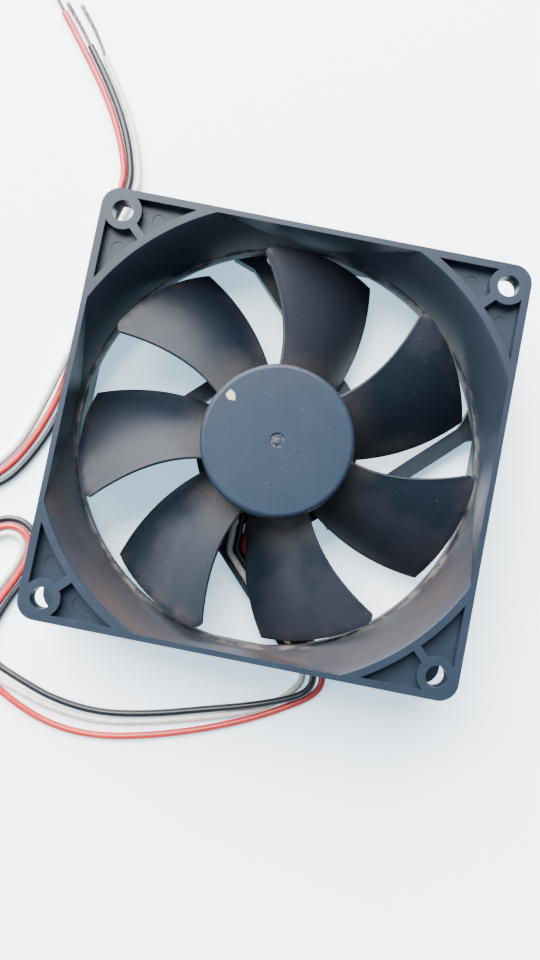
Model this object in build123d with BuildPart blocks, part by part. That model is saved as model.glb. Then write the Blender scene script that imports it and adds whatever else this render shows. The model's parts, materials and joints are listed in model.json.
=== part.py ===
"""A 92 x 92 x 25 mm axial case fan with three loose leads, as an assembly of separate pieces.

Frame: origin at the centre of the rear face, +Z along the rotor's axis towards the intake side.
The fan lies on its rear face, so z = 0 is also the surface that the loose wires lie on.
Every length is in millimetres.
"""

from math import cos, radians, sin, tan
import os

from build123d import *

os.makedirs("parts", exist_ok=True)

# ---------------------------------------------------------------- housing
FRAME_SIDE = 92.0            # square outline, both ways
FRAME_DEPTH = 25.0
FRAME_CORNER_R = 4.0
FLANGE_T = 4.2               # thickness of the front and the rear square flange
HOLE_PITCH = 82.5            # between mounting holes, both ways
HOLE_R = 2.25
BOSS_R = 4.0                 # ring of full thickness round each mounting hole
POCKET_DEPTH = 2.3           # relief moulded into each flange corner
POCKET_WALL = 1.6            # band left along the outside and along the duct
POCKET_RIB = 1.8             # diagonal rib between a corner's two pockets
EJECTOR_MARK_R = 1.4         # round ejector-pin mark on each pocket floor
EJECTOR_MARK_DEPTH = 0.15
EJECTOR_MARK_AT = (33.8, 41.2)

DUCT_WALL = 1.5
THROAT_R = 44.0
INTAKE_R = 49.8              # bell mouth at the front face, before the straight walls clip it
OUTLET_R = 48.0
STRAIGHT_WALL_AT = 44.8      # inner face of the four straight walls that clip the bell mouth
THROAT_BACK_Z = 9.0
THROAT_FRONT_Z = 12.2
THROAT_STEP = 0.4            # parting step between the throat and the bell mouth
BELL_SAG = 0.55              # how far the bell mouth's curve bows inwards from a plain cone

# ---------------------------------------------------------------- motor base and struts
BASE_Z = 0.4                 # rear side of the motor base, a little behind the rear face
BASE_FLOOR_T = 0.7
BASE_R = 18.6
BASE_RIM_T = 1.4
BASE_RIM_TOP = 4.0
STRUT_COUNT = 4
STRUT_LINE_AT = 20.3         # distance from the axis to each strut's centre line
STRUT_ANGLE = 43.8           # direction of the first strut, from the base out to the duct
STRUT_W = 3.6
STRUT_FOOT_W = 8.6           # strut's width where it joins the duct
STRUT_FOOT_L = 5.0
STRUT_END = 43.4             # distance along the strut from its tangent point to its outer end
WIRE_STRUT_W = 7.0
WIRE_STRUT_START = 8.0
CHANNEL_W = 5.3              # wire channel in the fourth strut
CHANNEL_START = 12.0         # where it begins and ends along that strut
CHANNEL_END = STRUT_END - 2.0
WINDOW_L = 14.0              # cut that carries the channel out through the frame's side
WINDOW_ROOM = 0.3            # clearance over the leads in that cut
LEAD_CUT_Y = -19.5           # cut in the dish's rim that lets the leads into the channel
LEAD_CUT_L = 9.0
BEARING_TUBE_R = 4.2
BEARING_R = 3.0
BEARING_TUBE_TOP = 15.2
BOARD_LEDGE_R = 5.6

# ---------------------------------------------------------------- rotor
HUB_R = 16.2
HUB_TOP = 24.6
HUB_WALL = 1.2
HUB_CROWN_T = 1.5
HUB_BOTTOM = 4.6
HUB_EDGE_R = 1.0
GATE_MARK_R = 1.65           # moulding gate mark in the middle of the hub
GATE_MARK_DEPTH = 0.35
GATE_NUB_R = 0.7
INSERT_BOSS_R = 5.0
INSERT_R = 3.4
INSERT_BOTTOM = 15.9
INSERT_BOSS_BOTTOM = 16.9
WASHER_R = 2.9
WASHER_BOTTOM = 15.4
SHAFT_R = 1.5
SHAFT_BOTTOM = 1.8
SHAFT_CHAMFER = 0.25
CLIP_Z = (2.2, 2.7)
CLIP_R = 2.5
CLIP_SLOT_W = 0.8
GROOVE_R = 1.15              # bottom of the clip's groove in the shaft
BLADE_COUNT = 7
BLADE_FIRST_ANGLE = 132.0    # polar angle of the first blade's reference direction
BLADE_TIP_R = 43.0
BLADE_TIP_ROUND = 2.2
BLADE_LEAD_Z = 19.0
BLADE_TRAIL_Z = 5.9
BLADE_T = 1.5
BLADE_EDGE_T = 0.9
BLADE_CAMBER = 0.085         # of the chord
BLADE_STATIONS = (13.0, 20.0, 27.0, 34.0, 40.0, 46.0)
# both edges are parabolas over the distance from the axis: (offset, curvature, distance of the vertex)
LEAD_EDGE = (5.0, 0.0186, 13.0)
TRAIL_EDGE = (-9.1, 0.011, 28.0)
# plan outline: a line just ahead of the leading edge near the tip, and points clear of the blade
OUTLINE_AHEAD = 0.8
OUTLINE_LINE = (36.0, 46.0)
OUTLINE_CLEAR = ((60.0, 26.0), (60.0, -30.0), (5.0, -30.0), (5.0, 22.0), (28.0, 22.0))

# ---------------------------------------------------------------- motor
MAGNET_OUTER_R = 14.0
MAGNET_INNER_R = 12.6
MAGNET_Z = (5.4, 15.4)
YOKE_Z = (5.2, 16.2)
POLE_COUNT = 4
CORE_Z = (7.0, 12.0)
CORE_HUB_R = 6.2
POLE_ARM_W = 3.0
POLE_FACE_R = 12.1
POLE_FACE_T = 1.3
POLE_FACE_SPAN = 66.0        # degrees
POLE_SLOT_L = 8.0            # radial length of the cut between two pole faces
BOBBIN_T = 0.6
BOBBIN_RING_R = 7.0
BOBBIN_RING_T = 0.7
COIL_FROM_R = 7.2
COIL_TO_R = 10.4
COIL_T = 1.3
COIL_CORNER_R = 0.9 * COIL_T
BOARD_Z = 3.0
BOARD_T = 0.8
BOARD_R = 14.4
PIN_R = 0.35
PIN_AT_R = 6.45
PIN_ANGLES = (45, 135, 315)
PIN_TAIL = 0.4               # how far the pins stand out behind the board
DRIVER_SIZE = (2.2, 4.1, 0.8)
DRIVER_AT_R = 12.6
DRIVER_CHAMFER = 0.15
CHIP_L = 2.0
CHIP_W = 1.25
CHIPS = {"chip_capacitor": (9.0, 9.0, 0.8), "chip_resistor": (11.5, -5.0, 0.5)}  # x, y, height
BEARING_Z = (3.0, 14.2)
BEARING_PLAY = 0.03          # radial running clearance between shaft and bearing
OIL_RING_PLAY = 0.35
OIL_RING_BOTTOM = 14.4
BEARING_CAP_T = 0.9
LABEL_R = 15.5
LABEL_T = 0.15

# ---------------------------------------------------------------- leads
WIRE_D = 1.6
WIRE_R = WIRE_D / 2
WIRE_PITCH = 1.65
LEAD_Z = BASE_Z + BASE_FLOOR_T + WIRE_R + 0.02   # just clear of the channel's floor
LEAD_START_Y = -11.0
LEAD_BEND_R = 2.5
SOLDER_R = 0.6
SOLDER_Y = LEAD_START_Y - 0.8
LEAD_FIRST_X = -3.0          # red lead's line where it leaves the motor base
STRAND_D = 0.8               # bundle of bare strands at a stripped end
WIRE_ORDER = {"red": -1, "black": 0, "white": 1}
TURN_SHARE = 0.45            # share of the shorter run that a corner's arc may take up

FRONT_FACE = FRAME_DEPTH
BELL_FOOT_R = THROAT_R + THROAT_STEP
BASE_TOP = BASE_Z + BASE_FLOOR_T


def save(part, label):
    """Name a finished piece and write it as its own STEP file."""
    part.label = label
    export_step(part, f"parts/{label}.step")


def polar(radius, angle):
    """Point at a radius and an angle in degrees."""
    return (radius * cos(radians(angle)), radius * sin(radians(angle)))


def strut_plane(index, height):
    """Plane whose X runs out along a strut and whose origin is the strut's tangent point."""
    direction = STRUT_ANGLE + 360 / STRUT_COUNT * index
    tangent_point = polar(STRUT_LINE_AT, direction - 90)
    return Plane(
        origin=(*tangent_point, height),
        x_dir=(*polar(1, direction), 0),
        z_dir=(0, 0, 1),
    )


def wire_strut_point(along, aside, height=LEAD_Z):
    """Point in the wire strut's channel; aside is positive away from the axis."""
    place = strut_plane(STRUT_COUNT - 1, 0)
    point = place.from_local_coords(Vector(along, -aside, 0))
    return (point.X, point.Y, height)


# ================================================================ housing
bell_middle = ((BELL_FOOT_R + INTAKE_R) / 2 - BELL_SAG, (THROAT_FRONT_Z + FRAME_DEPTH) / 2 + BELL_SAG)

with BuildPart() as duct_bore:
    with BuildSketch(Plane.XZ):
        with BuildLine():
            Polyline((0, 0), (OUTLET_R, 0), (THROAT_R, THROAT_BACK_Z), (THROAT_R, THROAT_FRONT_Z))
            Line((THROAT_R, THROAT_FRONT_Z), (BELL_FOOT_R, THROAT_FRONT_Z))
            ThreePointArc((BELL_FOOT_R, THROAT_FRONT_Z), bell_middle, (INTAKE_R, FRAME_DEPTH))
            Polyline((INTAKE_R, FRAME_DEPTH), (0, FRAME_DEPTH), (0, 0))
        make_face()
    revolve(axis=Axis.Z)
    with BuildSketch(Plane.XY):
        Rectangle(2 * STRAIGHT_WALL_AT, 2 * STRAIGHT_WALL_AT)
    extrude(amount=FRAME_DEPTH, mode=Mode.INTERSECT)

with BuildPart() as duct_shell:
    with BuildSketch(Plane.XZ):
        with BuildLine():
            Polyline(
                (0, 0),
                (OUTLET_R + DUCT_WALL, 0),
                (THROAT_R + DUCT_WALL, THROAT_BACK_Z),
                (THROAT_R + DUCT_WALL, THROAT_FRONT_Z),
            )
            ThreePointArc(
                (THROAT_R + DUCT_WALL, THROAT_FRONT_Z),
                (bell_middle[0] + DUCT_WALL, bell_middle[1]),
                (INTAKE_R + DUCT_WALL, FRAME_DEPTH),
            )
            Polyline((INTAKE_R + DUCT_WALL, FRAME_DEPTH), (0, FRAME_DEPTH), (0, 0))
        make_face()
    revolve(axis=Axis.Z)
    with BuildSketch(Plane.XY):
        RectangleRounded(FRAME_SIDE, FRAME_SIDE, FRAME_CORNER_R)
    extrude(amount=FRAME_DEPTH, mode=Mode.INTERSECT)

pocket_side = FRAME_SIDE - 2 * POCKET_WALL
hole_corners = [(x * HOLE_PITCH / 2, y * HOLE_PITCH / 2) for x in (-1, 1) for y in (-1, 1)]
ejector_marks = [
    (x * across, y * along)
    for across, along in (EJECTOR_MARK_AT, EJECTOR_MARK_AT[::-1])
    for x in (-1, 1)
    for y in (-1, 1)
]
flange_faces = (
    (Plane.XY.offset(FRONT_FACE), INTAKE_R, -1),
    (Plane.XY, OUTLET_R, 1),
)

with BuildPart() as frame:
    for flange_z in (0, FRAME_DEPTH - FLANGE_T):
        with BuildSketch(Plane.XY.offset(flange_z)):
            RectangleRounded(FRAME_SIDE, FRAME_SIDE, FRAME_CORNER_R)
        extrude(amount=FLANGE_T)
    add(duct_shell.part)
    add(duct_bore.part, mode=Mode.SUBTRACT)

    # corner pockets, ejector marks and mounting holes, in both flanges
    for face_plane, mouth_r, inwards in flange_faces:
        with BuildSketch(face_plane):
            Rectangle(pocket_side, pocket_side)
            Circle(mouth_r + POCKET_WALL, mode=Mode.SUBTRACT)
            for turn in (45, -45):
                Rectangle(2 * FRAME_SIDE, POCKET_RIB, rotation=turn, mode=Mode.SUBTRACT)
            with Locations(*hole_corners):
                Circle(BOSS_R, mode=Mode.SUBTRACT)
        extrude(amount=inwards * POCKET_DEPTH, mode=Mode.SUBTRACT)
        with BuildSketch(face_plane.offset(inwards * POCKET_DEPTH)):
            with Locations(*ejector_marks):
                Circle(EJECTOR_MARK_R)
        extrude(amount=inwards * EJECTOR_MARK_DEPTH, mode=Mode.SUBTRACT)
    with BuildSketch(Plane.XY):
        with Locations(*hole_corners):
            Circle(HOLE_R)
    extrude(amount=FRAME_DEPTH, mode=Mode.SUBTRACT)

    # motor base: a shallow dish with the bearing tube and the board's ledge
    with BuildSketch(Plane.XY.offset(BASE_Z)):
        Circle(BASE_R)
    extrude(amount=BASE_RIM_TOP - BASE_Z)
    with BuildSketch(Plane.XY.offset(BASE_TOP)):
        Circle(BASE_R - BASE_RIM_T)
    extrude(amount=BASE_RIM_TOP - BASE_TOP, mode=Mode.SUBTRACT)
    for top, radius in ((BOARD_Z, BOARD_LEDGE_R), (BEARING_TUBE_TOP, BEARING_TUBE_R)):
        with BuildSketch(Plane.XY.offset(BASE_TOP)):
            Circle(radius)
        extrude(amount=top - BASE_TOP)

    # struts, each tangent to the motor base and with a wider foot at the duct
    foot_start = STRUT_END - STRUT_FOOT_L
    for index in range(STRUT_COUNT):
        is_wire_strut = index == STRUT_COUNT - 1
        width = WIRE_STRUT_W if is_wire_strut else STRUT_W
        start = WIRE_STRUT_START if is_wire_strut else 0
        with BuildSketch(strut_plane(index, BASE_Z)):
            with Locations(((start + STRUT_END) / 2, 0)):
                Rectangle(STRUT_END - start, width)
            with BuildLine():
                Polyline(
                    (foot_start, -width / 2),
                    (STRUT_END, -STRUT_FOOT_W / 2),
                    (STRUT_END, STRUT_FOOT_W / 2),
                    (foot_start, width / 2),
                    close=True,
                )
            make_face()
        extrude(amount=BASE_RIM_TOP - BASE_Z)
    # the struts' inner ends stop at the dish's rim
    with BuildSketch(Plane.XY.offset(BASE_TOP)):
        Circle(BASE_R - BASE_RIM_T)
        Circle(BOARD_LEDGE_R, mode=Mode.SUBTRACT)
    extrude(amount=BASE_RIM_TOP - BASE_TOP, mode=Mode.SUBTRACT)

    # open wire channel, its way in from the motor base, and its window in the frame's side
    with BuildSketch(strut_plane(STRUT_COUNT - 1, BASE_TOP)):
        with Locations(((CHANNEL_START + CHANNEL_END) / 2, 0)):
            Rectangle(CHANNEL_END - CHANNEL_START, CHANNEL_W)
    extrude(amount=BASE_RIM_TOP - BASE_TOP, mode=Mode.SUBTRACT)
    lead_middle_x = LEAD_FIRST_X - WIRE_PITCH
    with BuildSketch(Plane.XY.offset(BASE_TOP)):
        with Locations((lead_middle_x, LEAD_CUT_Y)):
            Rectangle(CHANNEL_W, LEAD_CUT_L)
    extrude(amount=BASE_RIM_TOP - BASE_TOP, mode=Mode.SUBTRACT)
    with BuildSketch(strut_plane(STRUT_COUNT - 1, BASE_TOP)):
        with Locations((STRUT_END, 0)):
            Rectangle(WINDOW_L, CHANNEL_W)
    extrude(amount=WIRE_D + WINDOW_ROOM, mode=Mode.SUBTRACT)

    # hole for the bearing, open at the rear
    with BuildSketch(Plane.XY.offset(BASE_Z)):
        Circle(BEARING_R)
    extrude(amount=BEARING_TUBE_TOP - BASE_Z, mode=Mode.SUBTRACT)
    # keep everything inside the square outline
    with BuildSketch(Plane.XY):
        RectangleRounded(FRAME_SIDE, FRAME_SIDE, FRAME_CORNER_R)
    extrude(amount=FRAME_DEPTH, mode=Mode.INTERSECT)

save(frame.part, "frame")


# ================================================================ impeller
def blade_edge(edge, distance):
    """How far a blade's edge stands ahead of its reference direction, at a distance from the axis."""
    offset, curvature, vertex = edge
    return offset + curvature * (distance - vertex) ** 2


def blade_plane(distance):
    """Section plane square to the reference direction: X is tangential, Y is axial."""
    return Plane(origin=(distance, 0, 0), x_dir=(0, 1, 0), z_dir=(1, 0, 0))


with BuildPart() as blade:
    for distance in BLADE_STATIONS:
        lead = Vector(blade_edge(LEAD_EDGE, distance), BLADE_LEAD_Z)
        trail = Vector(blade_edge(TRAIL_EDGE, distance), BLADE_TRAIL_Z)
        chord = lead - trail
        along = chord.normalized()
        across = Vector(-along.Y, along.X)
        crown = (lead + trail) * 0.5 + across * (BLADE_CAMBER * chord.length)
        half_edge = across * (BLADE_EDGE_T / 2)
        half_body = across * (BLADE_T / 2)
        with BuildSketch(blade_plane(distance)):
            with BuildLine():
                ThreePointArc(lead + half_edge, crown + half_body, trail + half_edge)
                ThreePointArc(trail + half_edge, trail - along * (BLADE_EDGE_T / 2), trail - half_edge)
                ThreePointArc(trail - half_edge, crown - half_body, lead - half_edge)
                ThreePointArc(lead - half_edge, lead + along * (BLADE_EDGE_T / 2), lead + half_edge)
            make_face()
    loft()
    # plan outline: the tip circle, with the leading corner rounded off
    ahead_line = [(x, blade_edge(LEAD_EDGE, x) + OUTLINE_AHEAD) for x in OUTLINE_LINE]
    tip_corner = (BLADE_TIP_R, blade_edge(LEAD_EDGE, BLADE_TIP_R), 0)
    with BuildSketch(Plane.XY) as blade_outline:
        with BuildLine():
            Polyline(*ahead_line, *OUTLINE_CLEAR, close=True)
        make_face()
        Circle(BLADE_TIP_R, mode=Mode.INTERSECT)
        fillet(blade_outline.vertices().sort_by_distance(tip_corner)[0], BLADE_TIP_ROUND)
    extrude(amount=FRAME_DEPTH, mode=Mode.INTERSECT)

with BuildPart() as impeller:
    with BuildSketch(Plane.XY.offset(HUB_BOTTOM)):
        Circle(HUB_R)
    extrude(amount=HUB_TOP - HUB_BOTTOM)
    fillet(impeller.edges().group_by(Axis.Z)[-1], HUB_EDGE_R)
    with PolarLocations(0, BLADE_COUNT, start_angle=BLADE_FIRST_ANGLE):
        add(blade.part)
    with BuildSketch(Plane.XY.offset(HUB_BOTTOM)):
        Circle(HUB_R - HUB_WALL)
    extrude(amount=HUB_TOP - HUB_CROWN_T - HUB_BOTTOM, mode=Mode.SUBTRACT)
    with BuildSketch(Plane.XY.offset(INSERT_BOSS_BOTTOM)):
        Circle(INSERT_BOSS_R)
        Circle(INSERT_R, mode=Mode.SUBTRACT)
    extrude(amount=HUB_TOP - HUB_CROWN_T - INSERT_BOSS_BOTTOM)
    with BuildSketch(Plane.XY.offset(HUB_TOP)):
        Circle(GATE_MARK_R)
        Circle(GATE_NUB_R, mode=Mode.SUBTRACT)
    extrude(amount=-GATE_MARK_DEPTH, mode=Mode.SUBTRACT)
save(impeller.part, "impeller")


# ================================================================ rotor's metal and magnet
def ring(outer, inner, bottom, top):
    """A plain tube between two heights."""
    with BuildPart() as tube:
        with BuildSketch(Plane.XY.offset(bottom)):
            Circle(outer)
            Circle(inner, mode=Mode.SUBTRACT)
        extrude(amount=top - bottom)
    return tube.part


save(ring(HUB_R - HUB_WALL, MAGNET_OUTER_R, *YOKE_Z), "rotor_yoke")
save(ring(MAGNET_OUTER_R, MAGNET_INNER_R, *MAGNET_Z), "ring_magnet")
save(ring(INSERT_R, SHAFT_R, INSERT_BOTTOM, HUB_TOP - HUB_CROWN_T), "shaft_insert")
save(ring(WASHER_R, SHAFT_R, WASHER_BOTTOM, INSERT_BOTTOM), "thrust_washer")

with BuildPart() as shaft:
    with BuildSketch(Plane.XY.offset(SHAFT_BOTTOM)):
        Circle(SHAFT_R)
    extrude(amount=HUB_TOP - HUB_CROWN_T - SHAFT_BOTTOM)
    chamfer(shaft.edges().group_by(Axis.Z)[0], SHAFT_CHAMFER)
    with BuildSketch(Plane.XY.offset(CLIP_Z[0])):
        Circle(SHAFT_R)
        Circle(GROOVE_R, mode=Mode.SUBTRACT)
    extrude(amount=CLIP_Z[1] - CLIP_Z[0], mode=Mode.SUBTRACT)
save(shaft.part, "shaft")

with BuildPart() as retaining_clip:
    with BuildSketch(Plane.XY.offset(CLIP_Z[0])):
        Circle(CLIP_R)
        Circle(GROOVE_R, mode=Mode.SUBTRACT)
        with Locations((CLIP_R, 0)):
            Rectangle(2 * CLIP_R, CLIP_SLOT_W, mode=Mode.SUBTRACT)
    extrude(amount=CLIP_Z[1] - CLIP_Z[0])
save(retaining_clip.part, "retaining_clip")

# ================================================================ bearing
save(ring(BEARING_R, SHAFT_R + BEARING_PLAY, *BEARING_Z), "sleeve_bearing")
save(ring(BEARING_R, SHAFT_R + OIL_RING_PLAY, OIL_RING_BOTTOM, BEARING_TUBE_TOP), "oil_ring")

with BuildPart() as bearing_cap:
    with BuildSketch(Plane.XY.offset(BASE_Z)):
        Circle(BEARING_R)
    extrude(amount=BEARING_CAP_T)
save(bearing_cap.part, "bearing_cap")

with BuildPart() as rear_label:
    with BuildSketch(Plane.XY.offset(BASE_Z - LABEL_T)):
        Circle(LABEL_R)
    extrude(amount=LABEL_T)
save(rear_label.part, "rear_label")

# ================================================================ stator
slot_width = 2 * POLE_FACE_R * sin(radians(45 - POLE_FACE_SPAN / 2))
with BuildPart() as stator_core:
    with BuildSketch(Plane.XY.offset(CORE_Z[0])):
        Circle(POLE_FACE_R)
        Circle(POLE_FACE_R - POLE_FACE_T, mode=Mode.SUBTRACT)
        with PolarLocations(0, POLE_COUNT, start_angle=45):
            with Locations((POLE_FACE_R, 0)):
                Rectangle(POLE_SLOT_L, slot_width, mode=Mode.SUBTRACT)
        Circle(CORE_HUB_R)
        with PolarLocations(0, POLE_COUNT):
            with Locations((POLE_FACE_R / 2, 0)):
                Rectangle(POLE_FACE_R - POLE_FACE_T / 2, POLE_ARM_W)
        Circle(BEARING_TUBE_R, mode=Mode.SUBTRACT)
    extrude(amount=CORE_Z[1] - CORE_Z[0])
save(stator_core.part, "stator_core")

bobbin_heights = {"upper_bobbin": (CORE_Z[1], 1), "lower_bobbin": (CORE_Z[0], -1)}
for bobbin_name, (bobbin_z, outwards) in bobbin_heights.items():
    with BuildPart() as bobbin:
        with BuildSketch(Plane.XY.offset(bobbin_z)):
            Circle(BOBBIN_RING_R)
            with PolarLocations(0, POLE_COUNT):
                with Locations((POLE_FACE_R / 2, 0)):
                    Rectangle(POLE_FACE_R - 2 * POLE_FACE_T, POLE_ARM_W)
            Circle(BEARING_TUBE_R, mode=Mode.SUBTRACT)
        extrude(amount=outwards * BOBBIN_T)
        with BuildSketch(Plane.XY.offset(bobbin_z)):
            Circle(BOBBIN_RING_R)
            Circle(BOBBIN_RING_R - BOBBIN_RING_T, mode=Mode.SUBTRACT)
        extrude(amount=outwards * (BOBBIN_T + COIL_T))
    save(bobbin.part, bobbin_name)

core_middle_z = sum(CORE_Z) / 2
wound_height = CORE_Z[1] - CORE_Z[0] + 2 * BOBBIN_T
for index in range(POLE_COUNT):
    arm_angle = 360 / POLE_COUNT * index
    coil_plane = Plane(
        origin=(*polar(COIL_FROM_R, arm_angle), core_middle_z),
        x_dir=(*polar(1, arm_angle + 90), 0),
        z_dir=(*polar(1, arm_angle), 0),
    )
    with BuildPart() as coil:
        with BuildSketch(coil_plane):
            RectangleRounded(POLE_ARM_W + 2 * COIL_T, wound_height + 2 * COIL_T, COIL_CORNER_R)
            Rectangle(POLE_ARM_W, wound_height, mode=Mode.SUBTRACT)
        extrude(amount=COIL_TO_R - COIL_FROM_R)
    save(coil.part, f"coil_{index + 1}")

# ================================================================ circuit board and what is on it
pin_places = [polar(PIN_AT_R, angle) for angle in PIN_ANGLES]
with BuildPart() as circuit_board:
    with BuildSketch(Plane.XY.offset(BOARD_Z)):
        Circle(BOARD_R)
        Circle(BEARING_TUBE_R, mode=Mode.SUBTRACT)
        with Locations(*pin_places):
            Circle(PIN_R, mode=Mode.SUBTRACT)
    extrude(amount=BOARD_T)
save(circuit_board.part, "circuit_board")

board_top = BOARD_Z + BOARD_T
with BuildPart() as terminal_pins:
    with BuildSketch(Plane.XY.offset(BOARD_Z - PIN_TAIL)):
        with Locations(*pin_places):
            Circle(PIN_R)
    extrude(amount=CORE_Z[0] - BOBBIN_T - COIL_T - BOARD_Z + PIN_TAIL)
save(terminal_pins.part, "terminal_pins")

with BuildPart() as driver_ic:
    with BuildSketch(Plane.XY.offset(board_top)):
        with Locations((-DRIVER_AT_R, 0)):
            Rectangle(DRIVER_SIZE[0], DRIVER_SIZE[1])
    extrude(amount=DRIVER_SIZE[2])
    chamfer(driver_ic.faces().sort_by(Axis.Z)[-1].edges(), DRIVER_CHAMFER)
save(driver_ic.part, "driver_ic")

for chip_name, (chip_x, chip_y, chip_height) in CHIPS.items():
    with BuildPart() as chip:
        with BuildSketch(Plane.XY.offset(board_top)):
            with Locations((chip_x, chip_y)):
                Rectangle(CHIP_L, CHIP_W)
        extrude(amount=chip_height)
    save(chip.part, chip_name)


# ================================================================ leads inside the fan
def lead_route(name):
    """Corners of one lead, from under the board to the window in the frame's side."""
    aside = WIRE_PITCH * WIRE_ORDER[name]
    lead_x = LEAD_FIRST_X - WIRE_PITCH * (WIRE_ORDER[name] + 1)
    near = Vector(*wire_strut_point(0, aside))
    direction = Vector(*wire_strut_point(1, aside)) - near
    reach = (lead_x - near.X) / direction.X
    end_reach = (-FRAME_SIDE / 2 - near.Y) / direction.Y
    corner = near + direction * reach
    end = near + direction * end_reach
    return [(lead_x, LEAD_START_Y, LEAD_Z), tuple(corner), tuple(end)]


def turn_radii(points):
    """Largest tangent arc at each corner that leaves every run a straight middle."""
    vectors = [Vector(*point) for point in points]
    radii = []
    for before, here, after in zip(vectors, vectors[1:], vectors[2:]):
        shorter = min((here - before).length, (after - here).length)
        turn = (here - before).get_angle(after - here)
        radii.append(TURN_SHARE * shorter / tan(radians(turn / 2)))
    return radii


def tube(points, radii, diameter, label):
    """Round tube along straight runs joined by arcs; its volume is checked against its length."""
    with BuildPart() as body:
        with BuildLine() as line:
            route = FilletPolyline(*points, radius=radii)
        with BuildSketch(Plane(origin=route @ 0, z_dir=route % 0)):
            Circle(diameter / 2)
        sweep(path=line.line)
    expected = Circle(diameter / 2, mode=Mode.PRIVATE).area * route.length
    print(f"{label}: length {route.length:.1f}, tightest {min(radii):.2f}, "
          f"volume ratio {body.part.volume / expected:.4f}")
    save(body.part, label)
    return route.length


for wire_name in WIRE_ORDER:
    tube(lead_route(wire_name), [LEAD_BEND_R], WIRE_D, f"lead_{wire_name}")

with BuildPart() as solder_joints:
    for wire_name in WIRE_ORDER:
        joint_x = lead_route(wire_name)[0][0]
        with BuildSketch(Plane.XY.offset(LEAD_Z + WIRE_R)):
            with Locations((joint_x, SOLDER_Y)):
                Circle(SOLDER_R)
        extrude(amount=BOARD_Z - LEAD_Z - WIRE_R)
save(solder_joints.part, "solder_joints")

# ================================================================ loose wires on the surface
FLOOR = WIRE_R               # height of a wire's centre where it lies on the surface
STRAND_FLOOR = STRAND_D / 2

# Hand-laid corners of each wire's route. The first stretch runs straight out of the window, the
# wires then cross in long low humps, fold back on themselves beside the frame's left side, run
# along it, and leave past its far left corner to the three stripped ends.
WIRE_ROUTES = {
    "red": [
        (20.3, -48.2, 1.9), (20.8, -51.4, 1.4), (18.9, -54.4, FLOOR), (14.0, -57.6, FLOOR),
        (7.0, -61.6, FLOOR), (-3.0, -66.0, FLOOR), (-15.0, -70.0, FLOOR), (-28.0, -72.8, FLOOR),
        (-39.0, -72.2, FLOOR), (-49.0, -68.2, 1.7), (-57.4, -62.4, 2.8), (-59.2, -55.4, 2.7),
        (-56.8, -47.6, FLOOR), (-53.2, -40.2, FLOOR), (-51.4, -34.3, FLOOR), (-52.6, -31.1, FLOOR),
        (-55.3, -29.2, FLOOR), (-58.7, -29.3, FLOOR), (-62.2, -32.0, FLOOR), (-67.2, -31.0, FLOOR),
        (-70.0, -26.7, FLOOR), (-68.8, -21.7, FLOOR), (-62.2, -17.9, FLOOR), (-57.5, -11.0, FLOOR),
        (-53.6, -1.0, FLOOR), (-51.6, 9.5, FLOOR), (-51.1, 22.0, FLOOR), (-51.2, 35.0, FLOOR),
        (-51.0, 46.0, FLOOR), (-47.8, 55.8, FLOOR), (-50.1, 63.8, FLOOR), (-53.7, 71.2, FLOOR),
        (-58.0, 78.0, FLOOR), (-62.0, 83.3, FLOOR), (-66.2, 88.8, FLOOR), (-70.6, 94.2, FLOOR),
    ],
    "black": [
        (18.1, -48.2, 2.1), (18.6, -51.2, 2.4), (16.9, -53.9, 2.6), (12.0, -56.3, 2.6),
        (4.5, -59.0, 2.5), (-5.0, -62.0, FLOOR), (-16.0, -65.2, FLOOR), (-28.0, -67.4, FLOOR),
        (-39.0, -66.4, FLOOR), (-48.0, -63.4, FLOOR), (-55.6, -60.4, FLOOR), (-57.2, -55.2, FLOOR),
        (-54.8, -47.6, FLOOR), (-51.2, -40.0, FLOOR), (-49.6, -34.2, FLOOR), (-51.1, -30.0, FLOOR),
        (-54.8, -27.4, FLOOR), (-59.2, -27.6, FLOOR), (-62.6, -30.1, FLOOR), (-66.2, -29.3, FLOOR),
        (-68.1, -26.4, FLOOR), (-67.2, -22.8, FLOOR), (-60.6, -19.6, FLOOR), (-55.9, -12.6, FLOOR),
        (-51.9, -3.0, FLOOR), (-49.9, 8.0, FLOOR), (-49.4, 21.0, FLOOR), (-49.5, 34.0, FLOOR),
        (-49.3, 45.0, FLOOR), (-46.1, 55.4, FLOOR), (-48.4, 64.2, FLOOR), (-52.1, 72.0, FLOOR),
        (-56.5, 78.9, FLOOR), (-60.4, 84.3, FLOOR), (-62.8, 87.4, FLOOR),
    ],
    "white": [
        (15.7, -48.1, 1.6), (16.2, -50.9, 0.9), (14.9, -53.4, FLOOR), (11.0, -57.4, FLOOR),
        (3.5, -61.3, FLOOR), (-6.0, -64.2, FLOOR), (-17.0, -67.2, FLOOR), (-28.5, -69.4, FLOOR),
        (-40.0, -68.3, FLOOR), (-49.6, -65.4, FLOOR), (-58.2, -62.4, FLOOR), (-61.6, -56.4, FLOOR),
        (-59.4, -48.6, FLOOR), (-55.8, -41.4, FLOOR), (-53.9, -37.0, FLOOR), (-53.4, -34.0, FLOOR),
        (-54.2, -32.0, FLOOR), (-55.9, -31.0, FLOOR), (-58.3, -31.1, FLOOR), (-61.8, -33.9, FLOOR),
        (-68.4, -32.6, FLOOR), (-72.0, -27.1, FLOOR), (-70.4, -20.5, FLOOR), (-63.6, -16.3, FLOOR),
        (-59.0, -9.6, FLOOR), (-55.6, 0.0, 1.7), (-53.0, 9.0, 2.7), (-49.8, 22.0, 2.7),
        (-47.9, 33.0, 2.0), (-47.6, 41.0, FLOOR), (-46.9, 47.5, FLOOR), (-44.1, 55.2, FLOOR),
        (-46.5, 64.8, FLOOR), (-50.5, 72.8, FLOOR), (-54.9, 79.8, FLOOR), (-58.7, 85.2, FLOOR),
    ],
}
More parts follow.
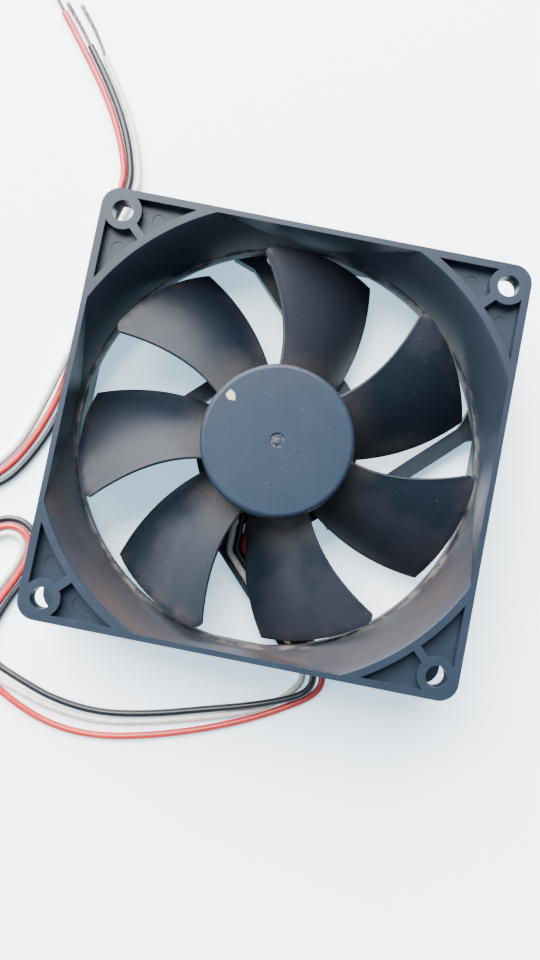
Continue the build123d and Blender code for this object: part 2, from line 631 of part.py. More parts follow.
# stripped ends: each bundle of bare strands carries on from the end of its wire
STRAND_ROUTES = {
    "red": [(-73.2, 97.6, FLOOR), (-76.2, 101.8, STRAND_FLOOR)],
    "black": [(-66.6, 92.6, FLOOR), (-71.2, 97.6, STRAND_FLOOR)],
    "white": [(-62.0, 91.4, FLOOR), (-67.8, 97.8, STRAND_FLOOR)],
}

for wire_name, corners in WIRE_ROUTES.items():
    window_point = lead_route(wire_name)[-1]
    route_points = [window_point] + corners
    tube(route_points, turn_radii(route_points), WIRE_D, f"wire_{wire_name}")
    strand_points = [corners[-1]] + STRAND_ROUTES[wire_name]
    tube(strand_points, turn_radii(strand_points), STRAND_D, f"strands_{wire_name}")
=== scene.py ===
"""Looks of the 92 mm case fan: materials, loose wires with stripped ends, floor, light and camera."""

import json
import math
import random

import bpy
from mathutils import Matrix, Vector


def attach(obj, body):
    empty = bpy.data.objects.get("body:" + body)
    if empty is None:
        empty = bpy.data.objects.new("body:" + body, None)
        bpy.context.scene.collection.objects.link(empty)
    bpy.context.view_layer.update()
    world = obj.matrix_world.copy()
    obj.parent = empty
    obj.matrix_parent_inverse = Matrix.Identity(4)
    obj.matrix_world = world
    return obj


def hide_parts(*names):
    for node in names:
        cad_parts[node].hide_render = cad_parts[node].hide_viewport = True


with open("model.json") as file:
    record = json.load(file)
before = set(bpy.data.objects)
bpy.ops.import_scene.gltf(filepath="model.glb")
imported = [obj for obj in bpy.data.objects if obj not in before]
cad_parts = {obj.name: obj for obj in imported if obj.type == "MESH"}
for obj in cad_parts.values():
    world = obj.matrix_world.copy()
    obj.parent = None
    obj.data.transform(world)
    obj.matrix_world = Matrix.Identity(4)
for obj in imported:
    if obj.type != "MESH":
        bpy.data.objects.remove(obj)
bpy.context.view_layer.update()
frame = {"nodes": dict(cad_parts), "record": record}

MM = 0.001
SEED = 7

# ---------------------------------------------------------------- places on the fan
FRONT_FACE_Z = 25.0 * MM
BELL_MOUTH_R = 49.8 * MM
THROAT_R = 44.0 * MM
THROAT_STEP_Z = 12.2 * MM
HUB_R = 16.2 * MM
HUB_TOP_Z = 24.6 * MM
BLADE_TIP_R = 43.0 * MM
GATE_MARK_R = 1.65 * MM
LABEL_BORDER_R = 13.85 * MM
FLECK_AT = (-11.3 * MM, 7.4 * MM, HUB_TOP_Z)
FLECK_R = 1.0 * MM
FLECK_WOBBLE = 1.6 * MM
WIRE_R = 0.8 * MM


# ---------------------------------------------------------------- node graphs
class Graph:
    """A material's node tree with short calls for adding and wiring nodes."""

    def __init__(self, name):
        self.material = bpy.data.materials.new(name)
        self.material.use_nodes = True
        self.tree = self.material.node_tree
        self.shader = self.tree.nodes["Principled BSDF"]

    def add(self, kind, inputs=None, **settings):
        """Add a node; an input takes either a value or another node's socket."""
        node = self.tree.nodes.new(kind)
        for key, value in settings.items():
            setattr(node, key, value)
        for key, value in (inputs or {}).items():
            self.plug(node.inputs[key], value)
        return node

    def plug(self, socket, value):
        """Wire a socket to another node's, or set its constant."""
        if isinstance(value, bpy.types.NodeSocket):
            self.tree.links.new(value, socket)
        else:
            socket.default_value = value

    def set(self, **inputs):
        """Set or wire the shader's own sockets, written with underscores for spaces."""
        for key, value in inputs.items():
            self.plug(self.shader.inputs[key.replace("_", " ")], value)

    def math(self, operation, first, second=0.0, clamp=False):
        """One arithmetic step."""
        node = self.add("ShaderNodeMath", {0: first, 1: second}, operation=operation, use_clamp=clamp)
        return node.outputs[0]

    def fade(self, value, low, high):
        """0 at low and 1 at high, smoothly; low may be above high."""
        node = self.add("ShaderNodeMapRange", {"Value": value, "From Min": low, "From Max": high})
        node.interpolation_type = "SMOOTHSTEP"
        return node.outputs["Result"]

    def place(self):
        """The shaded point in the part's own frame, in metres."""
        return self.add("ShaderNodeTexCoord").outputs["Object"]

    def noise(self, scale, detail=4.0, roughness=0.55, vector=None):
        """Noise about 0.5; the scale is in features per metre unless another vector is given."""
        inputs = {"Scale": scale, "Detail": detail, "Roughness": roughness}
        inputs["Vector"] = self.place() if vector is None else vector
        return self.add("ShaderNodeTexNoise", inputs).outputs["Fac"]

    def product(self, *factors):
        """All the factors multiplied together."""
        result = factors[0]
        for factor in factors[1:]:
            result = self.math("MULTIPLY", result, factor)
        return result

    def line(self, value, slope, offset=0.0):
        """slope * value + offset."""
        return self.math("ADD", self.math("MULTIPLY", value, slope), offset)

    def mix(self, factor, first, second):
        """Blend of two colours, each a socket or three channels."""
        node = self.add("ShaderNodeMix", data_type="RGBA")
        colours = [s for s in node.inputs if s.type == "RGBA"]
        self.plug(node.inputs[0], factor)
        for socket, value in zip(colours, (first, second)):
            self.plug(socket, value if isinstance(value, bpy.types.NodeSocket) else (*value, 1.0))
        return next(s for s in node.outputs if s.type == "RGBA")

    def bump(self, height, distance, strength=1.0):
        """Normal for a surface raised by up to the distance, in metres."""
        inputs = {"Height": height, "Distance": distance, "Strength": strength}
        return self.add("ShaderNodeBump", inputs).outputs["Normal"]

    def cylinder(self):
        """Radius, angle and height about the fan's axis."""
        parts = self.add("ShaderNodeSeparateXYZ", {0: self.place()}).outputs
        flat = self.add("ShaderNodeCombineXYZ", {0: parts["X"], 1: parts["Y"]}).outputs[0]
        radius = self.add("ShaderNodeVectorMath", {0: flat}, operation="LENGTH").outputs["Value"]
        angle = self.math("ARCTAN2", parts["Y"], parts["X"])
        return radius, angle, parts["Z"]

    def facing_axis(self):
        """1 on surfaces that face the fan's axis or lie square to it, 0 on outward-facing ones."""
        coordinates = self.add("ShaderNodeTexCoord").outputs
        inputs = {0: coordinates["Object"], 1: (1.0, 1.0, 0.0)}
        flat = self.add("ShaderNodeVectorMath", inputs, operation="MULTIPLY").outputs[0]
        outwards = self.add("ShaderNodeVectorMath", {0: flat}, operation="NORMALIZE").outputs[0]
        inputs = {0: outwards, 1: coordinates["Normal"]}
        turned = self.add("ShaderNodeVectorMath", inputs, operation="DOT_PRODUCT").outputs["Value"]
        return self.fade(turned, *FACING_COSINES)

    def spot(self, centre, size, wobble):
        """1 inside an irregular spot on the part, 0 outside it."""
        ragged = self.math("MULTIPLY", self.noise(SPOT_EDGE_SCALE, FINE_DETAIL), wobble)
        gap = self.add("ShaderNodeVectorMath", {0: self.place(), 1: centre}, operation="DISTANCE")
        reach = self.math("ADD", gap.outputs["Value"], ragged)
        outer, inner = SPOT_EDGE_LEVELS
        return self.fade(reach, size + wobble * outer, size + wobble * inner)


# ---------------------------------------------------------------- colours (linear)
SLATE = (0.0084, 0.0140, 0.0232)
SLATE_LIGHT = (0.0106, 0.0172, 0.0280)
HUB_SLATE = (0.0074, 0.0142, 0.0256)
HUB_LIGHT = (0.0094, 0.0174, 0.0308)
BLADE_SLATE = (0.0038, 0.0066, 0.0122)
BLADE_WORN = (0.0125, 0.0142, 0.0205)
DUST_BROWN = (0.040, 0.028, 0.023)
DUST_TAN = (0.038, 0.033, 0.031)
DUST_PALE = (0.110, 0.098, 0.090)
CREAM = (0.36, 0.31, 0.20)
STRAND_BRIGHT = (0.17, 0.145, 0.135)
STRAND_TARNISHED = (0.075, 0.058, 0.050)
COPPER_SHADE = (0.20, 0.06, 0.02)
COPPER = (0.62, 0.26, 0.09)
SHEET_GAP = (0.10, 0.10, 0.11)
SHEET_STEEL = (0.40, 0.41, 0.43)
LABEL_DARK = (0.52, 0.53, 0.55)
LABEL_LIGHT = (0.62, 0.63, 0.65)
LABEL_INK = (0.05, 0.06, 0.08)
WIRE_COLOURS = {
    "red": (0.42, 0.022, 0.019),
    "black": (0.005, 0.006, 0.010),
    "white": (0.58, 0.55, 0.48),
}

# ---------------------------------------------------------------- noise (features per metre)
MOULD_GRAIN_SCALE = 5200.0
MOULD_FLOW_SCALE = 140.0
FRAME_PATCH_SCALE = 55.0
ROTOR_PATCH_SCALE = 70.0
WORN_PATCH_SCALE = 38.0
FILM_GRAIN_SCALE = 1700.0
STEP_DUST_SCALE = 260.0
FRAME_SPECK_SCALE = 2300.0
ROTOR_SPECK_SCALE = 2500.0
ROOT_DRIFT_SCALE = 130.0
POWDER_SCALE = 3800.0
TIP_GRIME_SCALE = 240.0
RIM_BROWN_SCALE = 700.0
GATE_DUST_SCALE = 1500.0
SPOT_EDGE_SCALE = 900.0
PVC_MOTTLE_SCALE = 500.0
PVC_SCUFF_SCALE = 1500.0
TARNISH_SCALE = 1600.0
LABEL_TONE_SCALE = 300.0
LABEL_GRAIN_SCALE = 900.0

# ---------------------------------------------------------------- levels, shares and reliefs
# Levels are the noise, sine or cosine at which a fade starts and ends. Shares are opacities.
EVEN = (0.3, 0.7)            # two tones share the surface about evenly
FACING_COSINES = (0.35, 0.10)
SPOT_EDGE_LEVELS = (0.6, 0.4)

STREAKS_PER_RADIAN = 3.0
STREAKS_PER_METRE = 190.0
STREAK_LEVELS = (0.30, 0.75)
# sines where the duct film thickens on the lit -Y side: the extra brown there is a painted highlight
LIT_SIDE_SINES = (0.25, -0.70)
STEP_DUST_LEVELS = (0.42, 0.62)
STEP_DUST_SHARE = 0.65
FRAME_SPECK_LEVELS = (0.735, 0.78)
FRAME_SPECK_SHARE = 0.5
FRAME_SPECULAR = 0.19

WORN_LEVELS = (0.50, 0.60)
WORN_SHARE = 0.8
ROOT_DRIFT = 12.0 * MM
ROOT_DUST_FROM_R = 19.5 * MM
ROOT_DUST_FULL_R = 10.0 * MM
TIP_GRIME_LEVELS = (0.38, 0.66)
TIP_GRIME_SHARE = 0.28
ROTOR_SPECK_LEVELS = (0.73, 0.78)
ROTOR_SPECK_SHARE = 0.45
# brown on one side of the hub's rounded rim: the way it faces, its spread, patchiness and amount
RIM_BROWN_TOWARDS = 2.25      # radians from +X
RIM_BROWN_COSINES = (0.2, 0.95)
RIM_BROWN_LEVELS = (0.4, 0.6)
RIM_BROWN_SHARE = 0.6
GATE_DUST_LEVELS = (0.46, 0.60)
GATE_DUST_SHARE = 0.5
ROTOR_GRAIN = 0.35           # fainter than the frame's
ROTOR_SPECULAR = 0.18

TARNISH_LEVELS = (0.35, 0.65)
PVC_DARKENING = 0.8          # brightness of the darker patches beside the lighter ones
METAL_DARKENING = 0.72
DIELECTRIC_DARKENING = 0.82
COIL_PITCH = 0.18 * MM
COIL_RIDGE_LEVELS = (-1.0, 0.6)
SHEET_PITCH = 0.5 * MM
SHEET_GAP_LEVELS = (-1.0, -0.6)

PLAIN_DETAIL = 1.0
SOFT_DETAIL = 2.0
FINE_DETAIL = 3.0
RICH_DETAIL = 5.0
WORN_DETAIL = 9.0
MOULD_RELIEF = 0.04 * MM
COIL_RELIEF = 0.04 * MM
FINE_RELIEF = 0.03 * MM
METAL_RELIEF = 0.02 * MM


def moulded_grain(graph, grain=0.5, flow=0.6):
    """Fine spark-eroded grain of the mould, with faint sink and flow over it."""
    fine = graph.math("MULTIPLY", graph.noise(MOULD_GRAIN_SCALE, SOFT_DETAIL), grain)
    broad = graph.math("MULTIPLY", graph.noise(MOULD_FLOW_SCALE, SOFT_DETAIL), flow)
    return graph.bump(graph.math("ADD", fine, broad), MOULD_RELIEF, strength=0.5)


def pale_specks(graph, body, scale, levels, share):
    """Small pale dust specks scattered over a colour, at the noise's highest peaks."""
    specks = graph.fade(graph.noise(scale, PLAIN_DETAIL), *levels)
    return graph.mix(graph.math("MULTIPLY", specks, share), body, DUST_PALE)


def duct_inside(graph, radius, height):
    """1 on the duct's inner surfaces, 0 on the flanges and on the duct's outside."""
    return graph.product(
        graph.fade(radius, BELL_MOUTH_R + 0.7 * MM, BELL_MOUTH_R - 0.1 * MM),
        graph.fade(height, FRONT_FACE_Z - 0.2 * MM, FRONT_FACE_Z - 0.7 * MM),
        graph.fade(radius, THROAT_R - 4.0 * MM, THROAT_R - 2.5 * MM),
        graph.facing_axis(),
    )


def duct_film_and_highlight(graph, inside, angle, height):
    """Thin brown dust film in the duct, drawn out along the air's way; it is laid on thicker on the -Y
    side, where the extra brown is a painted highlight of the lit side.
    """
    around = graph.math("MULTIPLY", angle, STREAKS_PER_RADIAN)
    along = graph.math("MULTIPLY", height, STREAKS_PER_METRE)
    drawn = graph.add("ShaderNodeCombineXYZ", {0: around, 1: along}).outputs[0]
    soft = graph.noise(1.0, FINE_DETAIL, roughness=0.45, vector=drawn)
    streaks = graph.fade(soft, *STREAK_LEVELS)
    streaked = graph.line(streaks, slope=0.5, offset=0.25)
    grainy = graph.line(graph.noise(FILM_GRAIN_SCALE, FINE_DETAIL), slope=0.35)
    cover = graph.math("ADD", streaked, grainy)
    # painted highlight: more brown film on the -Y side of the duct, the side the lamp lights
    lit_side_highlight = graph.fade(graph.math("SINE", angle), *LIT_SIDE_SINES)
    dust_and_lit_highlight = graph.line(lit_side_highlight, slope=0.58, offset=0.12)
    return graph.math("MULTIPLY", graph.math("MULTIPLY", inside, dust_and_lit_highlight), cover, clamp=True)


def frame_plastic():
    """Slate-blue moulded housing, with brown dust film in the duct, partly a painted highlight on its
    lit -Y side, and pale dust on its step.
    """
    g = Graph("frame_plastic")
    radius, angle, height = g.cylinder()
    patches = g.noise(FRAME_PATCH_SCALE, RICH_DETAIL)
    body = g.mix(g.fade(patches, *EVEN), SLATE, SLATE_LIGHT)
    inside = duct_inside(g, radius, height)
    film = duct_film_and_highlight(g, inside, angle, height)
    # the duct's brown is real dust film plus a painted highlight on the lit -Y side
    body = g.mix(film, body, DUST_BROWN)

    step_dust = g.product(
        g.fade(height, THROAT_STEP_Z - 1.4 * MM, THROAT_STEP_Z - 0.2 * MM),
        g.fade(height, THROAT_STEP_Z + 2.0 * MM, THROAT_STEP_Z + 0.4 * MM),
        inside,
        g.fade(g.noise(STEP_DUST_SCALE), *STEP_DUST_LEVELS),
    )
    body = g.mix(g.math("MULTIPLY", step_dust, STEP_DUST_SHARE), body, DUST_PALE)
    body = pale_specks(g, body, FRAME_SPECK_SCALE, FRAME_SPECK_LEVELS, FRAME_SPECK_SHARE)

    clean = g.line(patches, slope=0.12, offset=0.34)
    rough = g.math("ADD", g.line(film, slope=0.16), clean)
    g.set(Base_Color=body, Roughness=rough, Normal=moulded_grain(g), Specular_IOR_Level=FRAME_SPECULAR)
    return g.material


def root_dust(graph, radius, height):
    """1 where dust has settled on the blades' roots and on the hub's side, with a wandering edge."""
    drift = graph.math("MULTIPLY", graph.noise(ROOT_DRIFT_SCALE, RICH_DETAIL), ROOT_DRIFT)
    reach = graph.math("SUBTRACT", radius, drift)
    below_face = graph.fade(height, HUB_TOP_Z - 0.6 * MM, HUB_TOP_Z - 2.1 * MM)
    return graph.math("MULTIPLY", graph.fade(reach, ROOT_DUST_FROM_R, ROOT_DUST_FULL_R), below_face)


def rim_brown_side(graph, radius, angle):
    """1 on one side of the hub's rounded rim, which is coloured brown there."""
    turned = graph.math("COSINE", graph.math("SUBTRACT", angle, RIM_BROWN_TOWARDS))
    return graph.product(
        graph.fade(radius, HUB_R - 1.2 * MM, HUB_R - 0.3 * MM),
        graph.fade(radius, HUB_R + 0.4 * MM, HUB_R),
        graph.fade(turned, *RIM_BROWN_COSINES),
        graph.fade(graph.noise(RIM_BROWN_SCALE), *RIM_BROWN_LEVELS),
    )


def impeller_plastic():
    """Rotor moulding: matt hub face, satin worn blades, dust at the roots, a stuck cream fleck."""
    g = Graph("impeller_plastic")
    radius, angle, height = g.cylinder()
    patches = g.noise(ROTOR_PATCH_SCALE, RICH_DETAIL)
    hub = g.mix(g.fade(patches, *EVEN), HUB_SLATE, HUB_LIGHT)
    worn = g.fade(g.noise(WORN_PATCH_SCALE, WORN_DETAIL, roughness=0.5), *WORN_LEVELS)
    blades = g.mix(g.math("MULTIPLY", worn, WORN_SHARE), BLADE_SLATE, BLADE_WORN)
    on_hub = g.product(
        g.fade(radius, HUB_R + 0.2 * MM, HUB_R - 0.1 * MM),
        g.fade(height, HUB_TOP_Z - 2.1 * MM, HUB_TOP_Z - 0.6 * MM),
    )
    body = g.mix(on_hub, blades, hub)

    root = root_dust(g, radius, height)
    grains = g.fade(g.noise(POWDER_SCALE, FINE_DETAIL), *EVEN)
    powder = g.line(grains, slope=0.45, offset=0.25)
    body = g.mix(g.math("MULTIPLY", root, powder, clamp=True), body, DUST_TAN)
    tip_grime = g.product(
        g.fade(radius, BLADE_TIP_R - 4.5 * MM, BLADE_TIP_R - 0.2 * MM),
        g.fade(g.noise(TIP_GRIME_SCALE, RICH_DETAIL), *TIP_GRIME_LEVELS),
    )
    body = g.mix(g.math("MULTIPLY", tip_grime, TIP_GRIME_SHARE), body, DUST_BROWN)
    body = pale_specks(g, body, ROTOR_SPECK_SCALE, ROTOR_SPECK_LEVELS, ROTOR_SPECK_SHARE)

    # brown laid on the hub's rounded rim, on the upper-left side only
    rim = rim_brown_side(g, radius, angle)
    body = g.mix(g.math("MULTIPLY", rim, RIM_BROWN_SHARE), body, DUST_BROWN)
    gate = g.product(
        g.fade(radius, GATE_MARK_R + 0.05 * MM, GATE_MARK_R - 0.25 * MM),
        g.fade(g.noise(GATE_DUST_SCALE, FINE_DETAIL), *GATE_DUST_LEVELS),
        on_hub,
    )
    body = g.mix(g.math("MULTIPLY", gate, GATE_DUST_SHARE), body, DUST_PALE)
    fleck = g.math("MULTIPLY", g.spot(FLECK_AT, FLECK_R, FLECK_WOBBLE), on_hub)
    body = g.mix(fleck, body, CREAM)

    dull = g.math("ADD", g.line(root, slope=0.30), g.line(worn, slope=-0.07))
    rough = g.math("ADD", dull, g.line(patches, slope=0.14, offset=0.38))
    grain = moulded_grain(g, ROTOR_GRAIN)
    g.set(Base_Color=body, Roughness=rough, Normal=grain, Specular_IOR_Level=ROTOR_SPECULAR)
    return g.material


def wire_pvc(name, colour):
    """Soft PVC insulation, a little uneven and scuffed."""
    g = Graph(name)
    mottled = g.noise(PVC_MOTTLE_SCALE, FINE_DETAIL)
    dull = tuple(channel * PVC_DARKENING for channel in colour)
    g.set(
        Base_Color=g.mix(g.fade(mottled, *EVEN), dull, colour),
        Roughness=g.line(mottled, slope=0.15, offset=0.27),
        Normal=g.bump(g.noise(PVC_SCUFF_SCALE, SOFT_DETAIL), FINE_RELIEF, strength=0.5),
    )
    return g.material


def metal(name, colour, roughness, grain=1800.0):
    """Bare or plated metal with fine mottling."""
    g = Graph(name)
    fine = g.noise(grain, FINE_DETAIL)
    dark = tuple(channel * METAL_DARKENING for channel in colour)
    g.set(
        Base_Color=g.mix(g.fade(fine, *EVEN), dark, colour),
        Metallic=1.0,
        Roughness=g.line(fine, slope=0.2, offset=roughness),
        Normal=g.bump(fine, METAL_RELIEF, strength=0.4),
    )
    return g.material


def dulled_strands():
    """Fine tinned copper strands, dulled grey-brown with age."""
    g = Graph("bare_strands")
    tarnish = g.fade(g.noise(TARNISH_SCALE), *TARNISH_LEVELS)
    g.set(
        Base_Color=g.mix(tarnish, STRAND_BRIGHT, STRAND_TARNISHED),
        Metallic=0.55,
        Roughness=g.line(tarnish, slope=0.2, offset=0.42),
    )
    return g.material


def dielectric(name, colour, roughness, grain=900.0):
    """Plain plastic, rubber, ceramic or laminate with its own faint grain."""
    g = Graph(name)
    fine = g.noise(grain, FINE_DETAIL)
    dark = tuple(channel * DIELECTRIC_DARKENING for channel in colour)
    g.set(
        Base_Color=g.mix(g.fade(fine, *EVEN), dark, colour),
        Roughness=g.line(fine, slope=0.15, offset=roughness),
        Normal=g.bump(fine, FINE_RELIEF, strength=0.4),
    )
    return g.material


def ridges(graph, value, pitch):
    """A wave between -1 and 1 that repeats once per pitch."""
    return graph.math("SINE", graph.math("MULTIPLY", value, 2 * math.pi / pitch))


def enamelled_coil():
    """Turns of enamelled copper wire, as fine ridges that run round each pole arm."""
    g = Graph("coil_copper")
    radius, _, _ = g.cylinder()
    turns = ridges(g, radius, COIL_PITCH)
    g.set(
        Base_Color=g.mix(g.fade(turns, *COIL_RIDGE_LEVELS), COPPER_SHADE, COPPER),
        Metallic=0.85,
        Roughness=0.28,
        Normal=g.bump(turns, COIL_RELIEF, strength=0.8),
    )
    return g.material


def laminated_core():
    """Stacked electrical steel: thin dark lines between the sheets."""
    g = Graph("core_steel")
    _, _, height = g.cylinder()
    sheets = ridges(g, height, SHEET_PITCH)
    g.set(
        Base_Color=g.mix(g.fade(sheets, *SHEET_GAP_LEVELS), SHEET_GAP, SHEET_STEEL),
        Metallic=1.0,
        Roughness=0.42,
        Normal=g.bump(sheets, FINE_RELIEF, strength=0.6),
    )
    return g.material


def label_film():
    """Blank metallised label with a darker border ring."""
    g = Graph("label_film")
    radius, _, _ = g.cylinder()
    border = g.product(
        g.fade(radius, LABEL_BORDER_R - 0.45 * MM, LABEL_BORDER_R - 0.25 * MM),
        g.fade(radius, LABEL_BORDER_R + 0.45 * MM, LABEL_BORDER_R + 0.25 * MM),
    )
    film = g.mix(g.fade(g.noise(LABEL_TONE_SCALE), *EVEN), LABEL_DARK, LABEL_LIGHT)
    g.set(
        Base_Color=g.mix(border, film, LABEL_INK),
        Roughness=0.34,
        Normal=g.bump(g.noise(LABEL_GRAIN_SCALE), METAL_RELIEF, strength=0.3),
    )
    return g.material


MATERIALS = {
    "frame_plastic": frame_plastic(),
    "impeller_plastic": impeller_plastic(),
    "yoke_steel": metal("yoke_steel", (0.55, 0.56, 0.58), 0.3),
    "magnet_ferrite": dielectric("magnet_ferrite", (0.055, 0.055, 0.06), 0.55),
    "shaft_steel": metal("shaft_steel", (0.72, 0.72, 0.74), 0.12),
    "insert_brass": metal("insert_brass", (0.72, 0.52, 0.22), 0.25),
    "clip_plastic": dielectric("clip_plastic", (0.78, 0.77, 0.72), 0.4),
    "bearing_bronze": metal("bearing_bronze", (0.52, 0.34, 0.18), 0.4, grain=2600.0),
    "cap_rubber": dielectric("cap_rubber", (0.025, 0.025, 0.027), 0.6),
    "label_film": label_film(),
    "core_steel": laminated_core(),
    "bobbin_plastic": dielectric("bobbin_plastic", (0.76, 0.76, 0.72), 0.42),
    "coil_copper": enamelled_coil(),
    "board_laminate": dielectric("board_laminate", (0.03, 0.19, 0.08), 0.25),
    "chip_plastic": dielectric("chip_plastic", (0.025, 0.025, 0.028), 0.45),
    "chip_ceramic": dielectric("chip_ceramic", (0.42, 0.28, 0.16), 0.4),
    "tinned_metal": metal("tinned_metal", (0.70, 0.70, 0.71), 0.25),
    "bare_strands": dulled_strands(),
}
for wire_name, wire_colour in WIRE_COLOURS.items():
    MATERIALS[f"wire_{wire_name}"] = wire_pvc(f"wire_{wire_name}", wire_colour)


def paint_cad_nodes():
    """Give every CAD node the material of its slot in the record."""
    for entry in frame["record"]["subparts"]:
        node = frame["nodes"][entry["node"]]
        node.data.materials.clear()
        node.data.materials.append(MATERIALS[entry["material_slot"]])


EDGE_WIDTHS = {"frame": 0.22 * MM, "impeller": 0.16 * MM}
SHARP_ANGLE = math.radians(35.0)
WELD_WITHIN = 0.002 * MM


def soften_edges(node_name, width):
    """Small moulded radius on a CAD node's sharp edges."""
    node = frame["nodes"][node_name]
    weld = node.modifiers.new("weld", "WELD")
    weld.merge_threshold = WELD_WITHIN
    bevel = node.modifiers.new("moulded_radius", "BEVEL")
    bevel.width = width
    bevel.segments = 2
    bevel.limit_method = "ANGLE"
    bevel.angle_limit = SHARP_ANGLE
    bevel.harden_normals = True


# ---------------------------------------------------------------- loose wires
# In millimetres. The routes are the same as in the part's own source.
FLOOR = 0.8                  # height of a wire's centre where it lies on the surface
STRAND_END = 0.4             # and of a bare bundle's
EXITS = {
    "red": (18.25, -46.0, 1.92),
    "black": (15.97, -46.0, 1.92),
    "white": (13.70, -46.0, 1.92),
}
WIRE_ROUTES = {
    "red": [
        (20.3, -48.2, 1.9), (20.8, -51.4, 1.4), (18.9, -54.4, FLOOR), (14.0, -57.6, FLOOR),
        (7.0, -61.6, FLOOR), (-3.0, -66.0, FLOOR), (-15.0, -70.0, FLOOR), (-28.0, -72.8, FLOOR),
        (-39.0, -72.2, FLOOR), (-49.0, -68.2, 1.7), (-57.4, -62.4, 2.8), (-59.2, -55.4, 2.7),
        (-56.8, -47.6, FLOOR), (-53.2, -40.2, FLOOR), (-51.4, -34.3, FLOOR), (-52.6, -31.1, FLOOR),
        (-55.3, -29.2, FLOOR), (-58.7, -29.3, FLOOR), (-62.2, -32.0, FLOOR), (-67.2, -31.0, FLOOR),
        (-70.0, -26.7, FLOOR), (-68.8, -21.7, FLOOR), (-62.2, -17.9, FLOOR), (-57.5, -11.0, FLOOR),
        (-53.6, -1.0, FLOOR), (-51.6, 9.5, FLOOR), (-51.1, 22.0, FLOOR), (-51.2, 35.0, FLOOR),
        (-51.0, 46.0, FLOOR), (-47.8, 55.8, FLOOR), (-50.1, 63.8, FLOOR), (-53.7, 71.2, FLOOR),
        (-58.0, 78.0, FLOOR), (-62.0, 83.3, FLOOR), (-66.2, 88.8, FLOOR), (-70.6, 94.2, FLOOR),
    ],
    "black": [
        (18.1, -48.2, 2.1), (18.6, -51.2, 2.4), (16.9, -53.9, 2.6), (12.0, -56.3, 2.6),
        (4.5, -59.0, 2.5), (-5.0, -62.0, FLOOR), (-16.0, -65.2, FLOOR), (-28.0, -67.4, FLOOR),
        (-39.0, -66.4, FLOOR), (-48.0, -63.4, FLOOR), (-55.6, -60.4, FLOOR), (-57.2, -55.2, FLOOR),
        (-54.8, -47.6, FLOOR), (-51.2, -40.0, FLOOR), (-49.6, -34.2, FLOOR), (-51.1, -30.0, FLOOR),
        (-54.8, -27.4, FLOOR), (-59.2, -27.6, FLOOR), (-62.6, -30.1, FLOOR), (-66.2, -29.3, FLOOR),
        (-68.1, -26.4, FLOOR), (-67.2, -22.8, FLOOR), (-60.6, -19.6, FLOOR), (-55.9, -12.6, FLOOR),
        (-51.9, -3.0, FLOOR), (-49.9, 8.0, FLOOR), (-49.4, 21.0, FLOOR), (-49.5, 34.0, FLOOR),
        (-49.3, 45.0, FLOOR), (-46.1, 55.4, FLOOR), (-48.4, 64.2, FLOOR), (-52.1, 72.0, FLOOR),
        (-56.5, 78.9, FLOOR), (-60.4, 84.3, FLOOR), (-62.8, 87.4, FLOOR),
    ],
    "white": [
        (15.7, -48.1, 1.6), (16.2, -50.9, 0.9), (14.9, -53.4, FLOOR), (11.0, -57.4, FLOOR),
        (3.5, -61.3, FLOOR), (-6.0, -64.2, FLOOR), (-17.0, -67.2, FLOOR), (-28.5, -69.4, FLOOR),
        (-40.0, -68.3, FLOOR), (-49.6, -65.4, FLOOR), (-58.2, -62.4, FLOOR), (-61.6, -56.4, FLOOR),
        (-59.4, -48.6, FLOOR), (-55.8, -41.4, FLOOR), (-53.9, -37.0, FLOOR), (-53.4, -34.0, FLOOR),
        (-54.2, -32.0, FLOOR), (-55.9, -31.0, FLOOR), (-58.3, -31.1, FLOOR), (-61.8, -33.9, FLOOR),
        (-68.4, -32.6, FLOOR), (-72.0, -27.1, FLOOR), (-70.4, -20.5, FLOOR), (-63.6, -16.3, FLOOR),
        (-59.0, -9.6, FLOOR), (-55.6, 0.0, 1.7), (-53.0, 9.0, 2.7), (-49.8, 22.0, 2.7),
        (-47.9, 33.0, 2.0), (-47.6, 41.0, FLOOR), (-46.9, 47.5, FLOOR), (-44.1, 55.2, FLOOR),
        (-46.5, 64.8, FLOOR), (-50.5, 72.8, FLOOR), (-54.9, 79.8, FLOOR), (-58.7, 85.2, FLOOR),
    ],
}
STRAND_ROUTES = {
    "red": [(-73.2, 97.6, FLOOR), (-76.2, 101.8, STRAND_END)],
    "black": [(-66.6, 92.6, FLOOR), (-71.2, 97.6, STRAND_END)],
    "white": [(-62.0, 91.4, FLOOR), (-67.8, 97.8, STRAND_END)],
}
HOUSING = "housing"

FINE_WIRE_R = 0.10 * MM
FINE_WIRES = 13
BUNDLE_TURNS = 2.5
BUNDLE_STEPS = 60
BUNDLE_CORE_R = 0.12 * MM    # every third fine wire runs near the bundle's middle
BUNDLE_OUTER_R = 0.29 * MM
MOST_SPLAY = 0.25 * MM
SHORTEST_SHARE = 0.86        # of the bundle's length


def metres(points):
    """Route points in millimetres as vectors in metres."""
    return [Vector(point) * MM for point in points]


def smooth_curve(name, points, radius):
    """One open NURBS curve with a round section."""
    curve = bpy.data.curves.new(name, "CURVE")
    curve.dimensions = "3D"
    curve.resolution_u = 8
    curve.bevel_depth = radius
    curve.bevel_resolution = 6
    curve.use_fill_caps = True
    spline = curve.splines.new("NURBS")
    spline.points.add(len(points) - 1)
    for control, point in zip(spline.points, points):
        control.co = (*point, 1.0)
    spline.order_u = 3
    spline.use_endpoint_u = True
    piece = bpy.data.objects.new(name, curve)
    bpy.context.scene.collection.objects.link(piece)
    return piece


def centreline(points):
    """Points along the NURBS line through a route, read from the curve itself."""
    bare = smooth_curve("route_reader", points, 0.0)
    bpy.context.view_layer.update()
    mesh = bpy.data.meshes.new_from_object(bare)
    line = [vertex.co.copy() for vertex in mesh.vertices]
    bpy.data.objects.remove(bare)
    bpy.data.meshes.remove(mesh)
    return line


